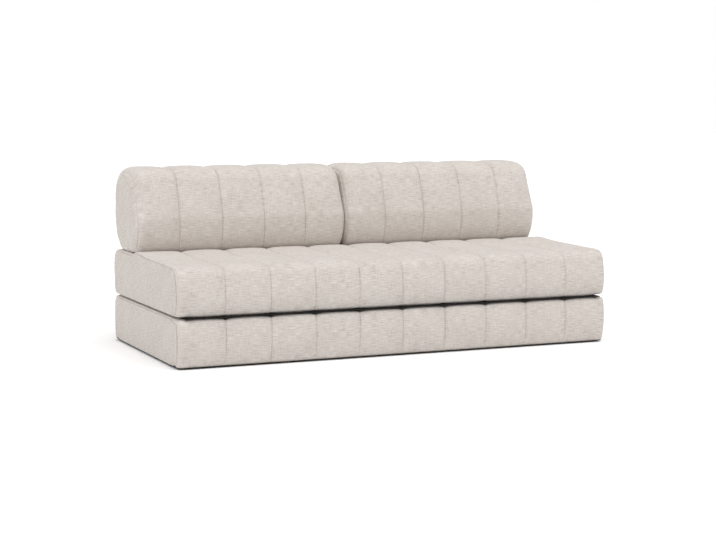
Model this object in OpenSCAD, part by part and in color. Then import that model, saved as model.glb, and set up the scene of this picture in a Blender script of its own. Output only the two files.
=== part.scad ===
// A sofa bed: an upholstered base, a seat slab of the same size that lies on it and is hinged to it
// along the front edge, and two loose back cushions. The seat swings up and over to the front, so
// that the two slabs lie side by side as one bed.
// X runs along the length, the front faces -Y, Z is up and the floor is at Z 0.

/* [Sofa] */
// Length of the sofa, end to end
sofa_w = 2000; // [1700:10:2300]
// Depth of the base and of the seat, front to back
slab_d = 985; // [850:5:1100]
// Height of the joint between the base and the seat
base_h = 211; // [200:1:230]
// Room left under the seat when it is folded out
floor_gap = 2; // [1:0.5:4]

/* [Covers] */
// Number of channels along the base and the seat
channel_n = 10; // [8:2:12]
// Depth of the stitched valley between two channels
channel_depth = 8; // [4:0.5:11]
// Wall of a quilted cover, fabric and wadding, at a crown
cover_wall = 26; // [24:0.5:30]
// How far the front and rear faces belly out
belly = 6; // [4:0.5:8]
// Radius of the seat's top edges
top_r = 42; // [34:1:48]
// Radius of the front edges along the joint
joint_r = 13; // [11:1:22]
// Radius of the rear edges along the joint
joint_rear_r = 32; // [20:1:40]
// Radius of the base's bottom edges
foot_r = 20; // [16:1:26]
// Radius of the upright corners of the slabs
corner_r = 28; // [25:1:38]
// Thickness of a slab's end panel
end_t = 12; // [9:0.5:14]
// Depth of the seam around an end panel
seam_dip = 2; // [0.5:0.5:3]
// Thickness of the seat's underside panel
under_t = 8; // [5:0.5:12]

/* [Fillings] */
// Thickness of the base's top foam layer
base_top_foam = 25; // [15:1:35]
// Thickness of the seat's top foam layer
seat_top_foam = 35; // [20:1:50]
// Thickness of the foam layer that is slept on, under the seat
sleep_foam = 30; // [15:1:45]

/* [Frame] */
// Thickness of the timber rails
rail_t = 24; // [18:1:32]
// Height of the timber rails
rail_h = 92; // [70:1:95]
// Thickness of the plywood deck
deck_t = 9; // [6:0.5:15]
// Number of cross rails
cross_n = 3; // [1:1:5]
// Leg of the triangular corner blocks
block_leg = 70; // [60:1:110]
// Thickness of the dust cloth under the frame
cloth_t = 1.2; // [0.6:0.1:2]
// Height of a glide
glide_h = 5.8; // [4:0.2:10]
// Diameter of a glide
glide_d = 36; // [30:1:44]

/* [Hinge strap] */
// Thickness of the strap
strap_t = 1.6; // [1:0.1:2]
// Width of the strap on each slab
strap_w = 88; // [70:1:120]
// How far the strap stops short of the ends
strap_short = 25; // [20:5:100]

/* [Back cushions] */
// How much shorter than half the sofa a back cushion is
cushion_short = 8; // [4:1:24]
// Depth of a back cushion, front to back
cushion_d = 395; // [350:5:430]
// Height of a back cushion
cushion_h = 368; // [330:2:420]
// How far a back cushion reaches past the rear of the seat
cushion_over = 13; // [0:1:30]
// Wall of a cushion's quilted cover at a crown
cushion_wall = 22; // [18:0.5:26]
// Radius of a cushion's lower front edge
nose_r = 52; // [44:1:60]
// Radius of a cushion's upper front edge
brow_r = 118; // [100:1:130]
// Radius of a cushion's upper rear edge
nape_r = 92; // [75:1:105]
// Radius of a cushion's lower rear edge
heel_r = 105; // [90:1:115]
// Radius of the ends of a cushion
cushion_end_r = 48; // [40:1:60]
// Thickness of a cushion's end panel
cushion_end_t = 20; // [14:1:24]
// Thickness of the non-slip panel under a cushion
grip_t = 5; // [3:0.5:8]

/* [Zips] */
// Width of the zip tape
tape_w = 26; // [20:1:30]
// Thickness of the zip tape
tape_t = 0.9; // [0.6:0.1:1.2]
// Width of the zip's row of teeth
teeth_w = 5; // [4:0.5:7]
// Thickness of the zip's row of teeth
teeth_t = 1.6; // [1.2:0.1:2]
// Length of a zip slider
slider_l = 12; // [9:0.5:16]
// Length of a slider's pull tab
tab_l = 22; // [16:1:28]

/* [Hidden] */

// Colours
fabric_colour = [0.83, 0.80, 0.76];
foam_colour = [0.93, 0.90, 0.78];
fibre_colour = [0.95, 0.95, 0.94];
wood_colour = [0.80, 0.66, 0.47];
black_colour = [0.10, 0.09, 0.09];
zip_colour = [0.72, 0.68, 0.63];
steel_colour = [0.72, 0.73, 0.75];

// Clearances and overruns
soft_gap = 0.3;
fit_gap = 0.15;
over = 1;

// Heights
base_z = glide_h + cloth_t;
base_top = base_h - soft_gap / 2;
base_slab_h = base_top - base_z;
seat_z = base_h + soft_gap / 2;
seat_slab_h = base_h - floor_gap;
seat_top = seat_z + seat_slab_h;
cushion_z = seat_top + soft_gap;

// Cushion outline: how far its edges stand in from the belly, its crown, and the turns of its arcs
nose_in = 6;
brow_in = 26;
heel_in = 22;
cushion_crown = 3;
nose_turn = 84;
brow_start = 172;
brow_end = 96;
nape_start = 84;
heel_start = 8;
core_share = 0.84;
// How much more the top of a cushion's end is drawn in than its sides, and how much less the middle of
// a slab's top
puff_share = 1.4;
flat_share = 0.3;

// Depths, from the front plane of the slabs
cushion_back = slab_d + cushion_over;
cushion_front = cushion_back - cushion_d;
depth_mid = cushion_back / 2;
nose_y = cushion_front + nose_in + nose_r;
heel_y = cushion_back - heel_in - heel_r;

// Lengths
slab_half = sofa_w / 2;
panel_half = slab_half - end_t;
channel_w = sofa_w / channel_n;
cushion_w = slab_half - cushion_short;
cushion_half = cushion_w / 2;
cushion_mids = [cushion_half - slab_half, 3 * cushion_half + 2 * soft_gap - slab_half];
cushion_panel_half = cushion_half - cushion_end_t;
cushion_channel_n = channel_n / 2;
cushion_channel_w = cushion_w / cushion_channel_n;

// One channel: how far along it each section stands, and how much of the valley it still holds
along_shares = [0, 0.07, 0.28, 0.72, 0.93];
valley_shares = [1, 0.45, 0, 0, 0.45];
// How deep the valleys run on the faces, edges and top
face_share = 0.6;
edge_share = 0.4;
// Height of the fullest part of a face, and of a cushion's front and rear
belly_share = 0.5;
cushion_belly_share = 0.34;
cushion_rear_share = 0.58;
// Steps in the rounding of an end: how far in from the end, as shares of the radius
slab_round_shares = [0.6, 0.8, 1];
end_round_shares = [0.5, 0.12];
cushion_round_shares = [0.58, 0.78, 1];
// The flat middle of an end panel
end_flat_share = 0.8;
cushion_flat_share = 0.72;

// Seat: overall crown of the top, where it is reached, and the flat band for the zip
seat_crown = 4;
crown_share = 0.4;
zip_band = 50;
// Base: slope from the strap's bed up to the crown
strap_slope = 36;

// Screws: shank, head and lengths
screw_d = 4;
screw_head_d = 8;
screw_head_h = 2.6;
frame_screw_l = 60;
deck_screw_l = 32;
glide_screw_l = 26;
head_recess = 2;
screw_rows_share = 0.28;

// Zips: how far they stop short of the ends, slider walls and tab
zip_short = 110;
cushion_zip_short = 90;
zip_stop_l = 4;
slider_wall = 1.1;
tab_w = 7;
tab_t = 1;
tab_hole_d = 3;

// Moves a piece from the front plane of the slabs to the middle of the sofa's depth
module placed(z = 0) {
    translate([0, -depth_mid, z]) children();
}

// Points of an arc in the YZ plane, each with its normal, its share of the valleys and of the end
// rounding, which run from the first to the last value of w and of e
function arc_points(y, z, r, a0, a1, n, w, e) = [
    for (i = [0:n])
        let (t = i / n, a = a0 + (a1 - a0) * t)
        [y + r * cos(a), z + r * sin(a), cos(a), sin(a), w[0] + (w[1] - w[0]) * t, e[0] + (e[1] - e[0]) * t]
];

// A point of an outline, drawn in along its normal by the valley v and the end rounding e
function drawn_in(p, v, e) =
    let (d = v * channel_depth * p[4] + e * p[5])
    [p[0] - p[2] * d, p[1] - p[3] * d];

// How far a quarter round of radius r is drawn in at the distance d from its end
function round_in(r, d) = d < r ? r - sqrt(r * r - (r - d) * (r - d)) : 0;

// Outline of a slab from its lower front edge, whose lowest point is at z, over the top to its lower
// rear edge
function lower_turn(r) = asin((belly + r - cover_wall) / r);

function front_edge(r, z) =
    arc_points(belly + r, z + r, r, 270 - lower_turn(r), 180, 2, [0, edge_share], [0, 1]);

function rear_edge(r, w) =
    arc_points(slab_d - belly - r, r, r, 0, lower_turn(r) - 90, 2, [w, 0], [1, 0]);

function top_front(r, h) = arc_points(belly + r, h - r, r, 180, 90, 3, [face_share, 1], [1, 1]);

function top_rear(r, h) = arc_points(slab_d - belly - r, h - r, r, 90, 0, 3, [1, face_share], [1, 1]);

base_outline = concat(
    front_edge(foot_r, 0),
    [[0, base_slab_h * belly_share, -1, 0, face_share, 1]],
    top_front(joint_r, base_slab_h - strap_t),
    [[strap_w, base_slab_h - strap_t, 0, 1, 1, flat_share]],
    [[strap_w + strap_slope, base_slab_h, 0, 1, 1, flat_share]],
    top_rear(joint_rear_r, base_slab_h),
    [[slab_d, base_slab_h * belly_share, 1, 0, face_share, 1]],
    rear_edge(foot_r, edge_share)
);

seat_outline = concat(
    front_edge(joint_r, strap_t),
    [[0, seat_slab_h * belly_share, -1, 0, face_share, 1]],
    top_front(top_r, seat_slab_h - seat_crown),
    [[slab_d * crown_share, seat_slab_h, 0, 1, 1, flat_share]],
    [[heel_y, seat_slab_h, 0, 1, 1, flat_share]],
    top_rear(top_r, seat_slab_h - seat_crown),
    [[slab_d, (seat_slab_h + zip_band) * belly_share, 1, 0, face_share, 1]],
    [[slab_d - belly, joint_rear_r + zip_band, 1, 0, 0, 1]],
    rear_edge(joint_rear_r, 0)
);

// Outline of a back cushion, with its bottom at Z 0
cushion_outline = concat(
    arc_points(nose_y, nose_r, nose_r, 270, 270 - nose_turn, 2, [0, 1], [0, 1]),
    [[cushion_front, cushion_h * cushion_belly_share, -1, 0, 1, 1]],
    arc_points(cushion_front + brow_in + brow_r, cushion_h - cushion_crown - brow_r, brow_r,
        brow_start, brow_end, 4, [1, 1], [1, puff_share]),
    [[(cushion_front + brow_in + brow_r + cushion_back - nape_r) / 2, cushion_h, 0, 1, 1, puff_share]],
    arc_points(cushion_back - nape_r, cushion_h - cushion_crown - nape_r, nape_r,
        nape_start, 0, 4, [1, 1], [puff_share, 1]),
    [[cushion_back, cushion_h * cushion_rear_share, 1, 0, 1, 1]],
    arc_points(heel_y, heel_r, heel_r, -heel_start, -90, 3, [0, 0], [1, 0])
);

// Inner corners of the covers, which the fillings touch
function slab_ceiling(h) = h - cover_wall;

function slab_inside(h) = [
    [cover_wall, slab_ceiling(h)],
    [slab_d - cover_wall, slab_ceiling(h)]
];

// Every second point of the cushion's outline, moved in by the wall
cushion_picks = [for (i = [2:2:len(cushion_outline) - 3]) i];
cushion_inside = concat(
    [[nose_y, grip_t]],
    [for (i = cushion_picks)
        let (p = cushion_outline[i])
        [p[0] - p[2] * cushion_wall, p[1] - p[3] * cushion_wall]],
    [[heel_y, grip_t]]
);

// Sections of a cover: place along X, share of the valley and end rounding
function end_sections(half, radius, shares) =
    [for (s = shares) [half - s * radius, 0, round_in(radius, s * radius)]];

function channel_sections(half, width, n, radius) = [
    for (k = [0:n - 1], i = [0:len(along_shares) - 1])
        let (x = (k + along_shares[i]) * width - half)
        if (abs(x) < half - radius) [x, valley_shares[i], 0]
];

function cover_sections(half, panel, width, n, radius, shares) =
    let (ends = end_sections(half, radius, shares))
    concat(
        [[-panel, 0, round_in(radius, half - panel) + seam_dip]],
        [for (s = ends) [-s[0], s[1], s[2]]],
        channel_sections(half, width, n, radius),
        [for (i = [len(ends) - 1:-1:0]) ends[i]],
        [[panel, 0, round_in(radius, half - panel) + seam_dip]]
    );

// Triangles of a strip between two rings that start at a and b and have n steps
function strip(a, b, n) = [
    for (i = [0:n - 1], f = [[a + i + 1, b + i, a + i], [b + i + 1, b + i, a + i + 1]]) f
];

// Index of the inner corner that faces the outline's point i
function facing(i, m, n) = min(n - 1, floor(i * n / m));

// Cap of a cover's open section: a fan from each inner corner to the outline that faces it
function open_cap(first, inner, m, n) = concat(
    [for (i = [0:m - 2]) [inner + facing(i, m - 1, n), first + i + 1, first + i]],
    [for (i = [1:m - 2]) if (facing(i, m - 1, n) != facing(i - 1, m - 1, n))
        [inner + facing(i - 1, m - 1, n), inner + facing(i, m - 1, n), first + i]]
);

function flipped(faces) = [for (f = faces) [f[2], f[1], f[0]]];

// A quilted cover, open along the bottom, from its outline, its inner corners and its sections
module cover(outline, inside, sections) {
    m = len(outline);
    n = len(inside);
    s = len(sections);
    inner0 = m * s;
    inner1 = inner0 + n;
    outer = [for (q = sections, p = outline) let (yz = drawn_in(p, q[1], q[2])) [q[0], yz[0], yz[1]]];
    inner = [for (x = [sections[0][0], sections[s - 1][0]], p = inside) [x, p[0], p[1]]];
    last = m * (s - 1);
    skin = [for (k = [0:s - 2]) each strip(k * m, (k + 1) * m, m - 1)];
    ceiling = flipped(strip(inner0, inner1, n - 1));
    front_wall = concat(
        [for (k = [0:s - 2]) [(k + 1) * m, inner0, k * m]],
        [[inner1, inner0, last]]
    );
    rear_wall = concat(
        [for (k = [0:s - 2]) [inner0 + n - 1, (k + 2) * m - 1, (k + 1) * m - 1]],
        [[inner0 + n - 1, inner1 + n - 1, last + m - 1]]
    );
    polyhedron(
        points = concat(outer, inner),
        faces = concat(
            skin, ceiling, front_wall, rear_wall,
            open_cap(0, inner0, m, n),
            flipped(open_cap(last, inner1, m, n))
        )
    );
}

// The middle of an outline
function middle(outline) = let (n = len(outline)) [
    [for (p = outline) p[0]] * [for (i = [1:n]) 1] / n,
    [for (p = outline) p[1]] * [for (i = [1:n]) 1] / n
];

// An end panel that closes a cover on its +X side, rounded to its flat middle
module end_panel(outline, half, panel, radius, round_shares, flat_share) {
    m = len(outline);
    c = middle(outline);
    depth = half - panel;
    seam = round_in(radius, depth) + seam_dip;
    rings = concat(
        [[panel, seam]],
        [for (s = round_shares) [half - depth * s, round_in(radius, depth * s)]]
    );
    r = len(rings);
    skin = [for (q = rings, p = outline) let (yz = drawn_in(p, 0, q[1])) [q[0], yz[0], yz[1]]];
    flat = [for (p = outline) let (yz = drawn_in(p, 0, rings[r - 1][1]))
        [half, c[0] + (yz[0] - c[0]) * flat_share, c[1] + (yz[1] - c[1]) * flat_share]];
    centres = [[panel, c[0], c[1]], [half, c[0], c[1]]];
    back = (r + 1) * m;
    polyhedron(
        points = concat(skin, flat, centres),
        faces = concat(
            [for (k = [0:r - 1]) each strip(k * m, (k + 1) * m, m - 1)],
            [for (k = [0:r - 1], f = [
                [k * m, (k + 2) * m - 1, (k + 1) * m - 1],
                [(k + 1) * m, (k + 2) * m - 1, k * m]]) f],
            [for (i = [0:m - 1]) [back, (i + 1) % m, i]],
            [for (i = [0:m - 1]) [back + 1, r * m + i, r * m + (i + 1) % m]]
        )
    );
}

module slab_cover(outline, h) {
    cover(outline, slab_inside(h),
        cover_sections(slab_half, panel_half, channel_w, channel_n, corner_r, slab_round_shares));
}

module slab_end(outline) {
    end_panel(outline, slab_half, panel_half, corner_r, end_round_shares, end_flat_share);
}

// A block that fills the slab's cover between two heights
module filling(z0, z1) {
    translate([-panel_half, cover_wall, z0])
        cube([2 * panel_half, slab_d - 2 * cover_wall, z1 - z0]);
}

// A pan head screw along -Z with the underside of its head at Z 0
module screw(length) {
    cylinder(d = screw_head_d, h = screw_head_h, $fn = 32);
    translate([0, 0, -length]) cylinder(d = screw_d, h = length + screw_head_h / 2, $fn = 24);
}

// The room that a screw needs
module screw_bore(length, head_room) {
    translate([0, 0, -length]) cylinder(d = screw_d + 2 * fit_gap, h = length + over, $fn = 24);
    cylinder(d = screw_head_d + 2 * fit_gap, h = head_room, $fn = 32);
}

// Frame: places of the cross rails, the glides and the screws
rail_z = base_z;
deck_z = rail_z + rail_h;
frame_front = cover_wall;
frame_rear = slab_d - cover_wall;
rail_inner_l = frame_rear - frame_front - 2 * rail_t;
side_x = panel_half - rail_t / 2;
cross_xs = [for (i = [1:cross_n]) -panel_half + 2 * panel_half * i / (cross_n + 1)];
joint_xs = concat([-side_x], cross_xs, [side_x]);
screw_zs = [rail_z + rail_h * screw_rows_share, rail_z + rail_h * (1 - screw_rows_share)];
glide_in = rail_t + (glide_d - rail_t) / 2 + fit_gap;
glide_xs = concat([-panel_half + glide_in], cross_xs, [panel_half - glide_in]);
glide_ys = [frame_front + glide_in, frame_rear - glide_in];
frame_head_z = screw_head_h + fit_gap;

module at_frame_screws() {
    for (x = joint_xs, z = screw_zs) {
        translate([x, frame_front + frame_head_z, z]) rotate([90, 0, 0]) children();
        translate([x, frame_rear - frame_head_z, z]) rotate([-90, 0, 0]) children();
    }
}

module at_glides() {
    for (x = glide_xs, y = glide_ys) translate([x, y, 0]) children();
}

module at_glide_screws() {
    at_glides() translate([0, 0, head_recess + screw_head_h]) rotate([180, 0, 0]) children();
}

module at_deck_screws() {
    for (i = [1:len(joint_xs) - 1], y = [frame_front + rail_t / 2, frame_rear - rail_t / 2])
        translate([(joint_xs[i - 1] + joint_xs[i]) / 2, y, deck_z + deck_t - screw_head_h - fit_gap])
            children();
}

module rail(l) {
    cube([l, rail_t, rail_h]);
}

module glides() {
    color(black_colour) placed() difference() {
        at_glides() cylinder(d = glide_d, h = glide_h, $fn = 64);
        at_glides() translate([0, 0, -over])
            cylinder(d = screw_head_d + 2 * fit_gap, h = over + head_recess + screw_head_h, $fn = 32);
        at_glides() cylinder(d = screw_d + 2 * fit_gap, h = glide_h + over, $fn = 24);
    }
}

module glide_screws() {
    color(steel_colour) placed() at_glide_screws() screw(glide_screw_l);
}

module dust_cloth() {
    color(black_colour) placed(glide_h) difference() {
        translate([-panel_half, cover_wall - belly, 0])
            cube([2 * panel_half, slab_d - 2 * (cover_wall - belly), cloth_t]);
        at_glides() translate([0, 0, -over])
            cylinder(d = screw_d + 2 * fit_gap, h = cloth_t + 2 * over, $fn = 24);
    }
}

module rail_front() {
    color(wood_colour) placed() difference() {
        translate([-panel_half, frame_front, rail_z]) rail(2 * panel_half);
        at_frame_screws() screw_bore(frame_screw_l, screw_head_h + over);
        at_deck_screws() screw_bore(deck_screw_l, over);
    }
}

module rail_rear() {
    color(wood_colour) placed() difference() {
        translate([-panel_half, frame_rear - rail_t, rail_z]) rail(2 * panel_half);
        at_frame_screws() screw_bore(frame_screw_l, screw_head_h + over);
        at_deck_screws() screw_bore(deck_screw_l, over);
    }
}

module side_rail(x) {
    translate([x + rail_t / 2, frame_front + rail_t, rail_z]) rotate([0, 0, 90]) rail(rail_inner_l);
}

module rail_left() {
    color(wood_colour) placed() difference() {
        side_rail(-side_x);
        at_frame_screws() screw_bore(frame_screw_l, screw_head_h);
    }
}

module rail_right() {
    color(wood_colour) placed() difference() {
        side_rail(side_x);
        at_frame_screws() screw_bore(frame_screw_l, screw_head_h);
    }
}

module cross_rails() {
    color(wood_colour) placed() difference() {
        for (x = cross_xs) side_rail(x);
        at_frame_screws() screw_bore(frame_screw_l, screw_head_h);
        at_glide_screws() screw_bore(glide_screw_l, screw_head_h);
    }
}

module corner_blocks() {
    color(wood_colour) placed(rail_z) difference() {
        for (sx = [-1, 1], sy = [-1, 1])
            translate([sx * (panel_half - rail_t), slab_d / 2 + sy * rail_inner_l / 2, 0])
                scale([-sx, -sy, 1])
                    linear_extrude(rail_h) polygon([[0, 0], [block_leg, 0], [0, block_leg]]);
        translate([0, 0, -rail_z]) at_glide_screws() screw_bore(glide_screw_l, screw_head_h);
    }
}

module frame_screws() {
    color(steel_colour) placed() at_frame_screws() screw(frame_screw_l);
}

module deck_panel() {
    color(wood_colour) placed() difference() {
        filling(deck_z, deck_z + deck_t);
        at_deck_screws() screw_bore(deck_screw_l, screw_head_h + over);
    }
}

module deck_screws() {
    color(steel_colour) placed() at_deck_screws() screw(deck_screw_l);
}

module base_foam_core() {
    color(foam_colour) placed() filling(deck_z + deck_t, base_top - cover_wall - base_top_foam);
}

module base_foam_top() {
    color(fibre_colour) placed() filling(base_top - cover_wall - base_top_foam, base_top - cover_wall);
}

module base_cover() {
    color(fabric_colour) placed(base_z) slab_cover(base_outline, base_slab_h);
}

module base_end_panel_left() {
    color(fabric_colour) placed(base_z) mirror([1, 0, 0]) slab_end(base_outline);
}

module base_end_panel_right() {
    color(fabric_colour) placed(base_z) slab_end(base_outline);
}

// One leaf of the strap, from the front plane of the slabs back, with its bottom at z
module strap_leaf(z) {
    translate([-slab_half + strap_short, 0, z])
        cube([2 * (slab_half - strap_short), strap_w - fit_gap, strap_t]);
}

module hinge_strap_lower() {
    color(black_colour) placed() strap_leaf(base_top - strap_t);
}

module hinge_strap_upper() {
    color(black_colour) placed() strap_leaf(seat_z);
}

module seat_underside() {
    color(fabric_colour) placed(seat_z) translate([-panel_half, 0, 0])
        rotate([90, 0, 90]) linear_extrude(2 * panel_half) polygon([
            [cover_wall, strap_t],
            [strap_w, strap_t],
            [strap_w, 0],
            [slab_d - cover_wall, 0],
            [slab_d - cover_wall, under_t],
            [cover_wall, under_t]
        ]);
}

module seat_foam_sleep() {
    color(fibre_colour) placed(seat_z) filling(under_t, under_t + sleep_foam);
}

module seat_foam_core() {
    color(foam_colour) placed(seat_z)
        filling(under_t + sleep_foam, slab_ceiling(seat_slab_h) - seat_top_foam);
}

module seat_foam_top() {
    color(fibre_colour) placed(seat_z)
        filling(slab_ceiling(seat_slab_h) - seat_top_foam, slab_ceiling(seat_slab_h));
}

module seat_cover() {
    color(fabric_colour) placed(seat_z) slab_cover(seat_outline, seat_slab_h);
}

module seat_end_panel_left() {
    color(fabric_colour) placed(seat_z) mirror([1, 0, 0]) slab_end(seat_outline);
}

module seat_end_panel_right() {
    color(fabric_colour) placed(seat_z) slab_end(seat_outline);
}

// A closed zip on the plane Y 0, teeth outward along +Y, with a stop at each end
module zip(half) {
    translate([-half, 0, -tape_w / 2]) cube([2 * half, tape_t, tape_w]);
    translate([-half, 0, -teeth_w / 2]) cube([2 * half, tape_t + teeth_t, teeth_w]);
    for (s = [-1, 1])
        translate([s * (half - zip_stop_l / 2) - zip_stop_l / 2, 0, -teeth_w])
            cube([zip_stop_l, tape_t + teeth_t + slider_wall, 2 * teeth_w]);
}

// The slider at the zip's left end: a saddle over the teeth with its pull tab hanging from it
slider_y = tape_t + fit_gap;
slider_top = tape_t + teeth_t + soft_gap + slider_wall;

module zip_slider(half) {
    inner = teeth_w + 2 * soft_gap;
    outer = inner + 2 * slider_wall;
    translate([-half + zip_stop_l + soft_gap, 0, 0]) {
        difference() {
            translate([0, slider_y, -outer / 2]) cube([slider_l, slider_top - slider_y, outer]);
            translate([-over, slider_y - over, -inner / 2])
                cube([slider_l + 2 * over, slider_top - slider_wall - slider_y + over, inner]);
        }
        difference() {
            translate([(slider_l - tab_w) / 2, slider_top, -tab_l + outer / 2]) cube([tab_w, tab_t, tab_l]);
            translate([slider_l / 2, slider_top - over, -tab_l + outer / 2 + tab_hole_d])
                rotate([-90, 0, 0]) cylinder(d = tab_hole_d, h = tab_t + 2 * over, $fn = 24);
        }
    }
}

module at_seat_zip() {
    placed(seat_z) translate([0, slab_d - belly, joint_rear_r + zip_band / 2]) children();
}

module seat_zip() {
    color(zip_colour) at_seat_zip() zip(slab_half - zip_short);
}

module seat_zip_slider() {
    color(steel_colour) at_seat_zip() zip_slider(slab_half - zip_short);
}

// Place of a back cushion: side is 0 for the left one, whose end is flush with the seat's, and 1 for
// the right one beside it
module at_cushion(side) {
    placed(cushion_z) translate([cushion_mids[side], 0, 0]) children();
}

module cushion_prism(points, half) {
    translate([-half, 0, 0]) rotate([90, 0, 90]) linear_extrude(2 * half) polygon(points);
}

core_middle = middle(cushion_inside);
core_points = [for (p = cushion_inside) core_middle + (p - core_middle) * core_share];

module cushion_core(side) {
    color(foam_colour) at_cushion(side) cushion_prism(core_points, cushion_panel_half);
}

module cushion_fibre(side) {
    color(fibre_colour) at_cushion(side) difference() {
        cushion_prism(cushion_inside, cushion_panel_half);
        cushion_prism(core_points, cushion_panel_half + over);
    }
}

module cushion_cover(side) {
    color(fabric_colour) at_cushion(side) cover(cushion_outline, cushion_inside,
        cover_sections(cushion_half, cushion_panel_half, cushion_channel_w, cushion_channel_n,
            cushion_end_r, cushion_round_shares));
}

module cushion_grip_panel(side) {
    color(black_colour) at_cushion(side)
        translate([-cushion_panel_half, nose_y, 0])
            cube([2 * cushion_panel_half, heel_y - nose_y, grip_t]);
}

module cushion_end(side, face) {
    color(fabric_colour) at_cushion(side) scale([face, 1, 1])
        end_panel(cushion_outline, cushion_half, cushion_panel_half, cushion_end_r, end_round_shares,
            cushion_flat_share);
}

// The flat strip of the cushion's lower rear edge that carries the zip
heel_first = len(cushion_outline) - 3;
heel_a = cushion_outline[heel_first];
heel_b = cushion_outline[heel_first + 1];
heel_tilt = atan2(heel_a[0] - heel_b[0], heel_a[1] - heel_b[1]);

module at_cushion_zip(side) {
    at_cushion(side)
        translate([0, (heel_a[0] + heel_b[0]) / 2, (heel_a[1] + heel_b[1]) / 2])
            rotate([-heel_tilt, 0, 0]) children();
}

module cushion_zip(side) {
    color(zip_colour) at_cushion_zip(side) zip(cushion_half - cushion_zip_short);
}

module cushion_zip_slider(side) {
    color(steel_colour) at_cushion_zip(side) zip_slider(cushion_half - cushion_zip_short);
}

glides();
glide_screws();
dust_cloth();
rail_front();
rail_rear();
rail_left();
rail_right();
cross_rails();
corner_blocks();
frame_screws();
deck_panel();
deck_screws();
base_foam_core();
base_foam_top();
base_cover();
base_end_panel_left();
base_end_panel_right();
hinge_strap_lower();
hinge_strap_upper();
seat_foam_core();
seat_foam_top();
seat_foam_sleep();
seat_cover();
seat_underside();
seat_end_panel_left();
seat_end_panel_right();
seat_zip();
seat_zip_slider();
cushion_core(0);  // left_cushion_core
cushion_fibre(0);  // left_cushion_fibre
cushion_cover(0);  // left_cushion_cover
cushion_grip_panel(0);  // left_cushion_grip_panel
cushion_end(0, -1);  // left_cushion_outer_end
cushion_end(0, 1);  // left_cushion_inner_end
cushion_zip(0);  // left_cushion_zip
cushion_zip_slider(0);  // left_cushion_zip_slider
cushion_core(1);  // right_cushion_core
cushion_fibre(1);  // right_cushion_fibre
cushion_cover(1);  // right_cushion_cover
cushion_grip_panel(1);  // right_cushion_grip_panel
cushion_end(1, 1);  // right_cushion_outer_end
cushion_end(1, -1);  // right_cushion_inner_end
cushion_zip(1);  // right_cushion_zip
cushion_zip_slider(1);  // right_cushion_zip_slider
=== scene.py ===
import math

import bmesh
import bpy
import numpy as np
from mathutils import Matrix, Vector


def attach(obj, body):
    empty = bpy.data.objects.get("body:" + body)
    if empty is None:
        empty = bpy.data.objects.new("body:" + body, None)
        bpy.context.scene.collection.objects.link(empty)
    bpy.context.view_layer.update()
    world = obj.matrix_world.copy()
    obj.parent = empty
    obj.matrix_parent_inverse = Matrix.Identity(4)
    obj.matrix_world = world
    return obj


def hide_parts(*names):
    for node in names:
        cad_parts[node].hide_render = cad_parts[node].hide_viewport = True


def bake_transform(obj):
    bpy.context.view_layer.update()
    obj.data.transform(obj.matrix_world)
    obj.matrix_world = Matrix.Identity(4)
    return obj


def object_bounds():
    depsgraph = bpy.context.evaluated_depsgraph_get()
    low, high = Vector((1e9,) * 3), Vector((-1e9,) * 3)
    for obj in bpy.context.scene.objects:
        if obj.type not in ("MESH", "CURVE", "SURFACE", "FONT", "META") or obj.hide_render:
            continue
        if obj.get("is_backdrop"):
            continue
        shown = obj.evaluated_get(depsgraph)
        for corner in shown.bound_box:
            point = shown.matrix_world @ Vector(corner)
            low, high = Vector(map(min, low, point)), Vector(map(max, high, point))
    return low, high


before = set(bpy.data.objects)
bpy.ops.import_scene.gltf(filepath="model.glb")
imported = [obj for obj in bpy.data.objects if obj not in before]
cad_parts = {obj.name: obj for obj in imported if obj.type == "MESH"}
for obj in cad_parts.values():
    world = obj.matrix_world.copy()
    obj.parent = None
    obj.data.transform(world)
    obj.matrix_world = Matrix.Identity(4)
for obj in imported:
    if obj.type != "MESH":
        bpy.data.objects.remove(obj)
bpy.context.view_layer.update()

# All lengths below are in mm, with Y measured from the front plane of the two slabs, as the part's
# source has them. to_metres() takes them to the row frame.
MM = 0.001
DEPTH_MID = 499.0

SOFA_HALF, SLAB_D = 1000.0, 985.0
BASE_Z, BASE_SLAB_H = 7.0, 203.85
SEAT_Z, SEAT_SLAB_H = 211.15, 209.0
BASE_TOP = 210.85
CHANNEL_W, CHANNEL_N = 200.0, 10
CHANNEL_DEPTH, WALL, BELLY, FRONT_IN = 8.0, 26.0, 6.0, 10.0
TOP_R, JOINT_R, JOINT_REAR_R, FOOT_R = 42.0, 11.0, 32.0, 20.0
SEAM_DIP, NOTCH, END_HANG = 4.2, 4.0, 1.5
FULL, JOINT_OPEN = 9.0, 2.0
# STRAP_HALF runs the strap almost to the ends, so its near-black band paints the gap's shade right up to the
# corners.
STRAP_T, STRAP_W, STRAP_HALF = 1.6, 87.85, 975.0
FRAME_HALF, FRAME_FRONT, FRAME_REAR = 988.0, 26.0, 959.0
CUSHION_Z, CUSHION_H = 420.45, 368.0
CUSHION_HALF, CUSHION_PANEL_HALF, CUSHION_N = 496.0, 486.0, 5
CUSHION_FRONT, CUSHION_BACK, CUSHION_WALL = 603.0, 998.0, 22.0
PUFF = 4.0
LINING = 28.0
BROW_H, BASE_OUT = 50.0, 6.0
NOSE_Y, NOSE_H, HEEL_Y, HEEL_R, BROW_R, NAPE_R = 661.0, 150.0, 871.0, 105.0, 84.0, 92.0
CUSHION_MIDS = {"left": -504.0, "right": 488.6}
AXIS_Y, AXIS_Z = -0.3, 211.0
UV = "weave"


def to_metres(p):
    return (np.asarray(p, float) - (0, DEPTH_MID, 0)) * MM


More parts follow.
